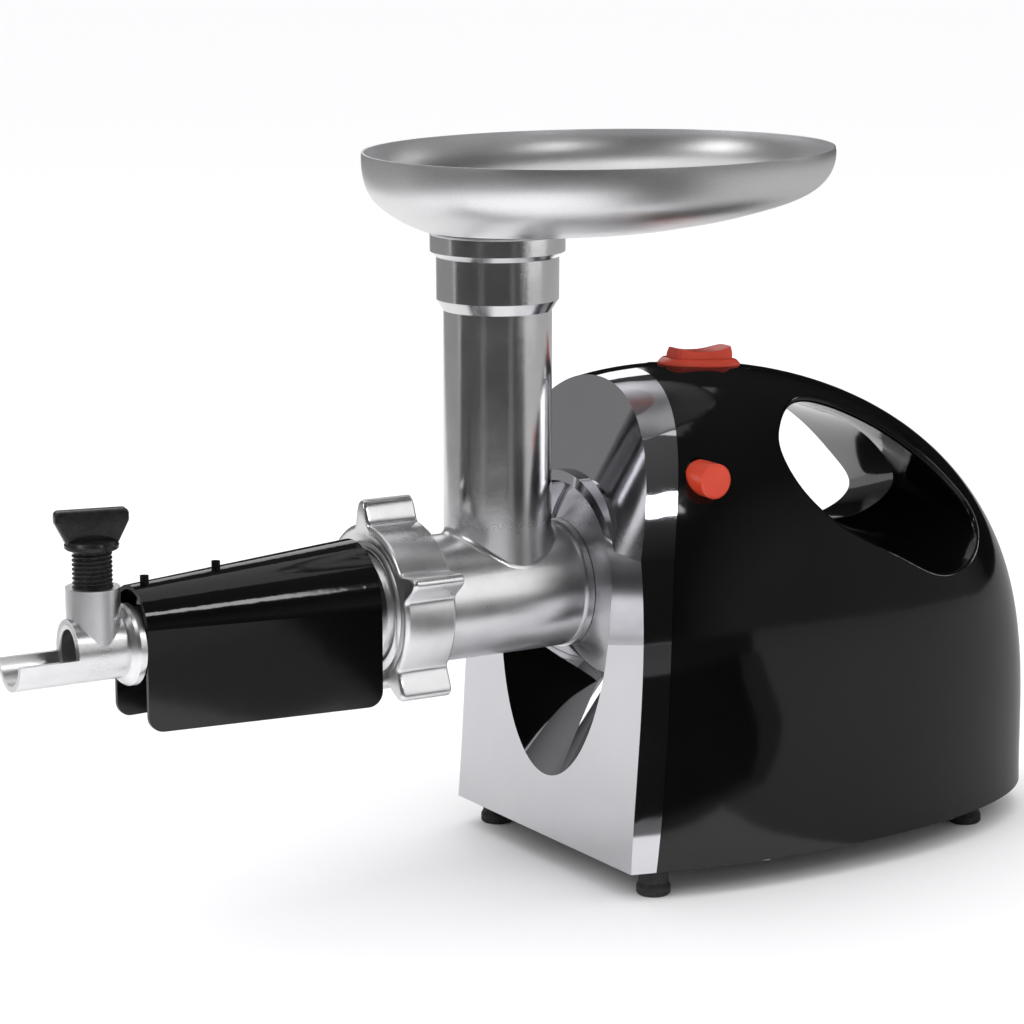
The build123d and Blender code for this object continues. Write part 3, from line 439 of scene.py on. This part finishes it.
def rounded_outline(corners, radius, steps=8):
    """Outline with each corner replaced by an arc touching both of its sides, and its inward normals."""
    corner = np.array(corners, dtype=float)
    back = np.roll(corner, 1, axis=0) - corner
    ahead = np.roll(corner, -1, axis=0) - corner
    back /= np.linalg.norm(back, axis=1)[:, None]
    ahead /= np.linalg.norm(ahead, axis=1)[:, None]
    middle = back + ahead
    middle /= np.linalg.norm(middle, axis=1)[:, None]
    half = np.arccos(np.clip((back * ahead).sum(axis=1), -1, 1)) / 2
    centre = corner + middle * (radius / np.sin(half))[:, None]
    share = np.linspace(-1, 1, steps)[None, :, None] * (np.pi / 2 - half)[:, None, None]
    side = np.stack([-middle[:, 1], middle[:, 0]], axis=1)
    spin = np.sign((side * ahead).sum(axis=1))[:, None]
    normal = np.cos(share) * middle[:, None] - np.sin(share) * (side * spin)[:, None]
    return (centre[:, None] - radius * normal).reshape(-1, 2), normal.reshape(-1, 2)


def plate_rings(corners, corner_radius, half, edge):
    """Plate of an outline: its rim is a quarter round of radius edge at each face, closed in the middle."""
    outline, inward = rounded_outline(corners, corner_radius)
    bend = np.linspace(0, np.pi / 2, 6)
    inset = np.concatenate([edge * (1 - np.sin(bend)), edge * (1 - np.cos(bend))])
    level = np.concatenate([-half + edge * (1 - np.cos(bend)), half - edge * (1 - np.sin(bend))])
    rim = outline[None] + inward[None] * inset[:, None, None]
    middle = np.broadcast_to(outline.mean(axis=0), (1, *outline.shape))
    flat = np.concatenate([middle, rim, middle])
    level = np.concatenate([[-half], level, [half]])
    rings = np.empty((*flat.shape[:2], 3))
    rings[..., 0] = flat[..., 0]
    rings[..., 1] = level[:, None]
    rings[..., 2] = flat[..., 1]
    return rings


def shells(name, parts, crease):
    """One object from several closed ring grids, with doubled points at the poles merged."""
    faces, first = [], 0
    for rings in parts:
        faces.append(ring_faces(*rings.shape[:2], first))
        first += rings.shape[0] * rings.shape[1]
    mesh = bpy.data.meshes.new(name)
    points = np.concatenate([rings.reshape(-1, 3) for rings in parts])
    mesh.from_pydata(points.tolist(), [], np.concatenate(faces).tolist())
    form = bmesh.new()
    form.from_mesh(mesh)
    bmesh.ops.remove_doubles(form, verts=form.verts, dist=1e-7)
    bmesh.ops.recalc_face_normals(form, faces=form.faces)
    form.to_mesh(mesh)
    form.free()
    mesh.shade_smooth()
    mesh.set_sharp_from_angle(angle=radians(crease))
    piece = bpy.data.objects.new(name, mesh)
    bpy.context.scene.collection.objects.link(piece)
    return piece


wing = plate_rings(wing_corners, wing_corner, wing_half, wing_edge)
wing = np.stack(
    [
        wing[..., 0] * cos(wing_turn) - wing[..., 1] * sin(wing_turn),
        wing[..., 0] * sin(wing_turn) + wing[..., 1] * cos(wing_turn),
        wing[..., 2],
    ],
    axis=-1,
)
screw_parts = [
    thread_rings(thread_foot, thread_head, thread_root, thread_crest, thread_pitch),
    turned_rings(stem_line, columns=40),
    turned_rings(collar_line, columns=96),
    wing,
]
adjusting_screw = shells("adjusting_screw", [part + (boss_x, 0, 0) for part in screw_parts], crease=40)
screw_plastic, shader, place = finish("screw_plastic", IOR=1.48)
grain = noise(place, scale=1600.0, detail=2.0)
rub = noise(place, scale=160.0, detail=3.0)
colour_by(shader, rub, (0.3, (0.007, 0.007, 0.0075)), (0.7, (0.014, 0.014, 0.0145)))
(grain * 0.12 + rub * 0.12 + 0.16).into(shader, "Roughness")
relief(shader, grain, distance=0.00004)
adjusting_screw.data.materials.append(screw_plastic)
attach(adjusting_screw, "screw")
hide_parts("wing_screw")

# Release button: orange-red moulded plastic with a fine satin grain, a little smoother
# where fingers have polished it. The switch is moulded in the same plastic.
red_plastic, shader, place = finish("red_plastic", IOR=1.5)
grain = noise(place, scale=900.0, detail=2.0)
wear = noise(place, scale=60.0, detail=3.0)
colour_by(shader, wear, (0.3, (0.56, 0.044, 0.018)), (0.7, (0.63, 0.058, 0.025)))
(wear * 0.15 + grain * 0.1 + 0.2).into(shader, "Roughness")
relief(shader, grain, distance=0.00003)
dress(red_plastic, "release_button")

# Switch flange, seat and rocker: an oval red rim snapped into a black seat that closes the
# housing's cut-out, round a red rocker with a hollowed top. The rocker turns on its pin.
switch_origin, switch_slope = np.array((0.0860, 0, 0.2329)), radians(4.1)
switch_along = np.array((cos(switch_slope), 0, -sin(switch_slope)))
switch_up = np.array((sin(switch_slope), 0, cos(switch_slope)))
flange_half, window_half, seat_half = (0.0218, 0.0115), (0.0172, 0.0077), (0.0222, 0.0126)
flange_power, window_power, seat_power = 2.3, 6, 14
rocker_half, rocker_power, rocker_foot = (0.0163, 0.0070), 5, -0.0075
rocker_rise, rocker_hollow, rocker_lean = 0.0056, 0.0027, 0.0006
crown_along, crown_across = 0.726, 0.174


def oval(half, power, columns=240):
    """Superellipse: each half axis times cosine or sine raised to 2 / power, with its sign kept."""
    angle = 2 * np.pi * (np.arange(columns) + 0.5) / columns
    circle = np.stack([np.cos(angle), np.sin(angle)], axis=1)
    return np.array(half) * np.sign(circle) * np.abs(circle) ** (2 / power)


def on_switch(flat, level):
    """Points in the switch's own plane: along its slope, across the machine, and up from it."""
    across = flat[..., 1:] * np.array((0, 1, 0))
    return switch_origin + flat[..., :1] * switch_along + across + level[..., None] * switch_up


def rim_rings(inner, outer, stations):
    """Rings at (share, level): an outline between the inner one (0) and the outer one (1)."""
    share, level = np.array(stations).T
    flat = inner + share[:, None, None] * (outer - inner)
    return flat, np.broadcast_to(level[:, None], flat.shape[:2])


flange_line = [
    (0, -0.009),
    (0, 0.0021),
    (0.06, 0.0024),
    (0.14, 0.0024),
    (0.50, 0.0016),
    (0.85, 0.0006),
    (0.96, 0.0002),
    (1, -0.0003),
    (0.97, -0.0009),
    (0.22, -0.0009),
    (0.22, -0.009),
    (0, -0.009),
]
window = oval(window_half, window_power)
flange_flat, flange_level = rim_rings(window, oval(flange_half, flange_power), flange_line)
switch_flange = shells("switch_flange", [on_switch(flange_flat, flange_level)], crease=40)
switch_flange.data.materials.append(red_plastic)
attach(switch_flange, "machine")
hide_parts("switch_bezel")

seat_line = [
    (0.1, -0.012),
    (0.1, 0),
    (0.4, 0),
    (0.7, 0),
    (0.9, 0),
    (1, 0),
    (1, -0.0012),
    (0.6, -0.0012),
    (0.6, -0.012),
    (0.1, -0.012),
]
seat_flat, seat_level = rim_rings(window, oval(seat_half, seat_power), seat_line)
crown = -(seat_flat[..., 0] ** 2 / crown_along + seat_flat[..., 1] ** 2 / crown_across)
seat_level = np.where(seat_level == 0, crown, seat_level)
switch_seat = shells("switch_seat", [on_switch(seat_flat, seat_level)], crease=40)
switch_seat.data.materials.append(black_gloss)
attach(switch_seat, "machine")


def rocker_rings(stations):
    """Rings at (scale, share, drop): share of the way from the foot up to the top, less the drop.

    The top is rise + hollow * reach ** 2 + lean * reach, where reach is -1 and 1 at the rocker's ends.
    """
    scale, share, drop = np.array(stations).T[..., None]
    flat = scale[..., None] * oval(rocker_half, rocker_power)
    reach = flat[..., 0] / rocker_half[0]
    top = rocker_rise + rocker_hollow * reach**2 + rocker_lean * reach
    return on_switch(flat, rocker_foot + share * (top - rocker_foot) - drop)


rocker_line = [
    (0, 0, 0),
    (0.92, 0, 0),
    (0.97, 0.1, 0),
    (1, 0.6, 0),
    (0.985, 0.8, 0),
    (0.945, 1, 0.0009),
    (0.938, 1, 0.0004),
    (0.92, 1, 0.0001),
    (0.89, 1, 0),
    (0.6, 1, 0),
    (0.3, 1, 0),
    (0, 1, 0),
]
rocker_cap = shells("rocker_cap", [rocker_rings(rocker_line)], crease=40)
rocker_cap.data.materials.append(red_plastic)
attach(rocker_cap, "switch_rocker")
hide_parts("rocker")

# Head, nut, socket, cone and spout: aluminium castings, tumbled and polished, with
# a soft grain and cloudy patches. The feed tube has the higher polish.
cast_aluminium, shader, place = finish("cast_aluminium", Metallic=1.0)
cloud = noise(place, scale=45.0, detail=4.0, roughness=0.6)
grain = noise(place, scale=1100.0, detail=3.0, roughness=0.7)
colour_by(shader, cloud, (0.3, (0.74, 0.74, 0.75)), (0.7, (0.86, 0.86, 0.87)))
height = place.make("SeparateXYZ", {}, {"Vector": place}, output="Z")
satin_top, polish_start, satin, polished = 0.165, 0.185, 0.16, 0.03
ends = {"From Min": satin_top, "From Max": polish_start, "To Min": satin, "To Max": polished}
polish = place.make("MapRange", {}, {"Value": height, **ends})
(cloud * 0.12 + grain * 0.08 + polish + 0.04).into(shader, "Roughness")
relief(shader, grain * 0.4 + cloud * 0.6, distance=0.00008)
dress(cast_aluminium, "grinder_head", "socket_ring", "strainer_cone", "spout", "auger")

# Ring nut: a polished casting with five finger lobes round a threaded ring. Its edges
# are well rounded, and its front face is dished toward the strainer's flange.
axis_z = 0.135
nut_front, nut_rear, nut_lip = -0.0955, -0.0695, -0.091
nut_bore, nut_thread, hub = 0.0265, 0.0293, 0.038
lobes = 5
lobe_phase, lobe_rise, lobe_width, lobe_power = radians(23), 0.0112, radians(6.2), 2.6
front_round, rear_round = 0.0022, 0.0015


def lobed_rings(stations, columns=540):
    """Rings about X at (x, radius, share).

    At each lobe the radius grows by share * rise * exp(-(angle / width) ** power).
    """
    x, radius, share = np.array(stations).T
    angle = 2 * np.pi * np.arange(columns) / columns
    apart = (angle - lobe_phase + np.pi / lobes) % (2 * np.pi / lobes) - np.pi / lobes
    lobe = lobe_rise * np.exp(-((np.abs(apart) / lobe_width) ** lobe_power))
    reach = radius[:, None] + share[:, None] * lobe
    rings = np.empty((len(x), columns, 3))
    rings[..., 0] = x[:, None]
    rings[..., 1] = -reach * np.cos(angle)
    rings[..., 2] = axis_z + reach * np.sin(angle)
    return rings


bend = np.linspace(0, np.pi / 2, 7)
rear_edge = np.stack(
    [
        nut_rear - rear_round * (1 - np.cos(bend)),
        hub - rear_round * (1 - np.sin(bend)),
        np.ones_like(bend),
    ],
    axis=1,
)
front_edge = np.stack(
    [
        nut_front + front_round * (1 - np.sin(bend)),
        hub - front_round * (1 - np.cos(bend)),
        np.ones_like(bend),
    ],
    axis=1,
)
dish = [
    (nut_front + 0.0005, 0.0338, 0),
    (nut_front + 0.0013, 0.0318, 0),
    (nut_front + 0.0013, 0.0303, 0),
    (nut_front + 0.0003, 0.0290, 0),
    (nut_front, 0.0280, 0),
    (nut_front + 0.0004, 0.0269, 0),
    (nut_front + 0.0012, nut_bore, 0),
    (nut_lip, nut_bore, 0),
    (nut_lip, nut_thread, 0),
    (nut_rear, nut_thread, 0),
]
nut_stations = np.concatenate([[(nut_rear, nut_thread, 0)], rear_edge, front_edge, dish])
grip_nut = shells("grip_nut", [lobed_rings(nut_stations)], crease=35)
grip_nut.data.materials.append(cast_aluminium)
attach(grip_nut, "nut")
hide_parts("ring_nut")

# Spout's mouth: a thick oval ring closes the end of the pipe round a smaller bore, and
# the trough runs on below it.
mouth_x, mouth_depth, mouth_z = -0.2431, 0.0026, 0.1323
outer_half, bore_half = np.array((0.0100, 0.0121)), np.array((0.0080, 0.0099))


def oval_rings(stations, columns=96):
    """Rings about X at (x, share): an oval whose half axes go from the bore (0) to the outside (1)."""
    x, share = np.array(stations).T
    angle = 2 * np.pi * np.arange(columns) / columns
    half = bore_half + share[:, None] * (outer_half - bore_half)
    rings = np.empty((len(x), columns, 3))
    rings[..., 0] = x[:, None]
    rings[..., 1] = half[:, :1] * np.cos(angle)
    rings[..., 2] = mouth_z + half[:, 1:] * np.sin(angle)
    return rings


inner_end = mouth_x + mouth_depth
lip_line = [
    (mouth_x, 1),
    (mouth_x, 0.3),
    (mouth_x + 0.0005, 0),
    (inner_end, 0),
    (inner_end, 1),
    (mouth_x, 1),
]
spout_mouth = shells("spout_mouth", [oval_rings(lip_line)], crease=40)
spout_mouth.data.materials.append(cast_aluminium)
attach(spout_mouth, "machine")

# A white card on the right of the set lights the castings alone: their satin faces
# answer it with the broad pale bands that the gloss beside them doesn't show.
card_place = heading(66, 20) * 1.3 + 0.13 * upright
card_aim = (-0.08, 0, 0.13)
casting_card = softbox("casting_card", place=card_place, aim=card_aim, wide=1.1, high=0.9, watts=3.0)
castings = bpy.data.collections.new("castings")
cast_nodes = [nodes[name] for name in ("grinder_head", "socket_ring", "strainer_cone", "spout")]
for piece in (*cast_nodes, grip_nut, spout_mouth):
    castings.objects.link(piece)
casting_card.light_linking.receiver_collection = castings

# Tray: deep-drawn aluminium with a satin grain that sparkles, and broad patches where
# it is a little duller.
tray_satin, shader, place = finish("tray_satin", Metallic=1.0)
grain = noise(place, scale=1700.0, detail=3.0, roughness=0.7)
cloud = noise(place, scale=18.0, detail=3.0)
colour_by(shader, grain, (0.3, (0.82, 0.82, 0.83)), (0.7, (0.93, 0.93, 0.94)))
(grain * 0.2 + cloud * 0.1 + 0.22).into(shader, "Roughness")
relief(shader, grain, distance=0.00004)
dress(tray_satin, "tray")

# Steel of the motor, shafts, spring, pins and screws: turned or drawn, with fine
# lines round the X axis of the shafts.
steel, shader, place = finish("steel", Metallic=1.0)
stretched = place.make("Mapping", {}, {"Vector": place, "Scale": (1.0, 0.05, 0.05)})
lines = noise(stretched, scale=2500.0, detail=2.0)
colour_by(shader, lines, (0.3, (0.42, 0.42, 0.43)), (0.7, (0.60, 0.60, 0.61)))
(lines * 0.2 + 0.2).into(shader, "Roughness")
relief(shader, lines, distance=0.00003)
dress(
    steel,
    "motor_rotor",
    "motor_bracket",
    "base_screws",
    "second_gear_shaft",
    "output_spindle",
    "lock_bar",
    "lock_pin",
    "rocker_pin",
)

# Return spring: drawn steel wire in five turns between the housing's seat and the release button.
spring_seat, spring_pitch, spring_turns = np.array((0.0450, -0.0500, 0.1916)), 0.00208, 5
coil_radius, wire_radius = 0.0060, 0.00055


def coil_rings(steps=40, columns=12):
    """Tube on a helix about -Y: at each point, the wire's circle spans the way out and the way across."""
    angle = 2 * np.pi * np.linspace(0, spring_turns, spring_turns * steps + 1)
    flat = np.zeros_like(angle)
    outward = np.stack([np.cos(angle), flat, np.sin(angle)], axis=1)
    rise = -wire_radius - spring_pitch * angle / (2 * np.pi)
    middle = spring_seat + coil_radius * outward + rise[:, None] * np.array((0, 1, 0))
    travel = np.stack(
        [
            -coil_radius * np.sin(angle),
            flat - spring_pitch / (2 * np.pi),
            coil_radius * np.cos(angle),
        ],
        axis=1,
    )
    travel /= np.linalg.norm(travel, axis=1)[:, None]
    sideways = np.cross(travel, outward)
    turn = 2 * np.pi * np.arange(columns) / columns
    circle = np.cos(turn)[:, None] * outward[:, None] + np.sin(turn)[:, None] * sideways[:, None]
    tube = middle[:, None] + wire_radius * circle
    ends = np.repeat(middle[[0, -1], None], columns, axis=1)
    return np.concatenate([ends[:1], tube, ends[1:]])


return_spring = shells("return_spring", [coil_rings()], crease=60)
return_spring.data.materials.append(steel)
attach(return_spring, "machine")
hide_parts("button_spring")
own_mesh(return_spring)

# Stator stack: varnished sheet-steel laminations half a millimetre thick.
sheet_waves = 12566.0  # two pi to each half millimetre
lamination, shader, place = finish("lamination", Metallic=0.8)
split_place = place.make("SeparateXYZ", {}, {"Vector": place})
sheets = place.make("Math", {"operation": "SINE"}, {0: split_place * sheet_waves})
colour_by(shader, sheets * 0.5 + 0.5, (0.2, (0.09, 0.08, 0.08)), (0.8, (0.20, 0.19, 0.18)))
(sheets * 0.05 + 0.4).into(shader, "Roughness")
dress(lamination, "motor_stator")

# Windings: enamelled copper wire, wound round the motor's axis in fine turns.
copper, shader, place = finish("copper", Metallic=1.0)
stretched = place.make("Mapping", {}, {"Vector": place, "Scale": (1.0, 0.15, 0.15)})
turns = noise(stretched, scale=1600.0, detail=1.0)
colour_by(shader, turns, (0.35, (0.28, 0.09, 0.035)), (0.65, (0.62, 0.25, 0.10)))
(turns * 0.15 + 0.25).into(shader, "Roughness")
relief(shader, turns, distance=0.0003)
dress(copper, "field_windings")

# Bushes and brush holders: sintered bronze and brass, with open pores.
bronze, shader, place = finish("bronze", Metallic=1.0)
pores = noise(place, scale=1800.0, detail=3.0, roughness=0.7)
colour_by(shader, pores, (0.35, (0.30, 0.18, 0.07)), (0.7, (0.56, 0.38, 0.17)))
(pores * 0.3 + 0.2).into(shader, "Roughness")
relief(shader, pores, distance=0.00005)
dress(bronze, "auger_bush", "output_bush", "brush_holders")

# Brushes: pressed carbon, dull and dusty.
carbon, shader, place = finish("carbon", IOR=1.6)
dust = noise(place, scale=1200.0, detail=4.0, roughness=0.7)
colour_by(shader, dust, (0.3, (0.015, 0.015, 0.016)), (0.8, (0.05, 0.05, 0.05)))
(dust * 0.3 + 0.45).into(shader, "Roughness")
dress(carbon, "brushes")

# Gear case and cover: grey glass-filled nylon, with short fibres near the surface.
grey_nylon, shader, place = finish("grey_nylon", IOR=1.53)
stretched = place.make("Mapping", {}, {"Vector": place, "Scale": (1.0, 0.2, 1.0)})
fibres = noise(stretched, scale=900.0, detail=3.0)
colour_by(shader, fibres, (0.3, (0.12, 0.12, 0.125)), (0.7, (0.18, 0.18, 0.185)))
(fibres * 0.2 + 0.4).into(shader, "Roughness")
relief(shader, fibres, distance=0.00005)
dress(grey_nylon, "gear_case", "gear_cover")

# First gear and screw pad: off-white acetal, smooth and slightly waxy.
acetal, shader, place = finish("acetal", IOR=1.48)
wax = noise(place, scale=150.0, detail=3.0)
colour_by(shader, wax, (0.3, (0.62, 0.60, 0.54)), (0.7, (0.72, 0.70, 0.64)))
(wax * 0.15 + 0.3).into(shader, "Roughness")
dress(acetal, "first_gear_shaft", "screw_pad")
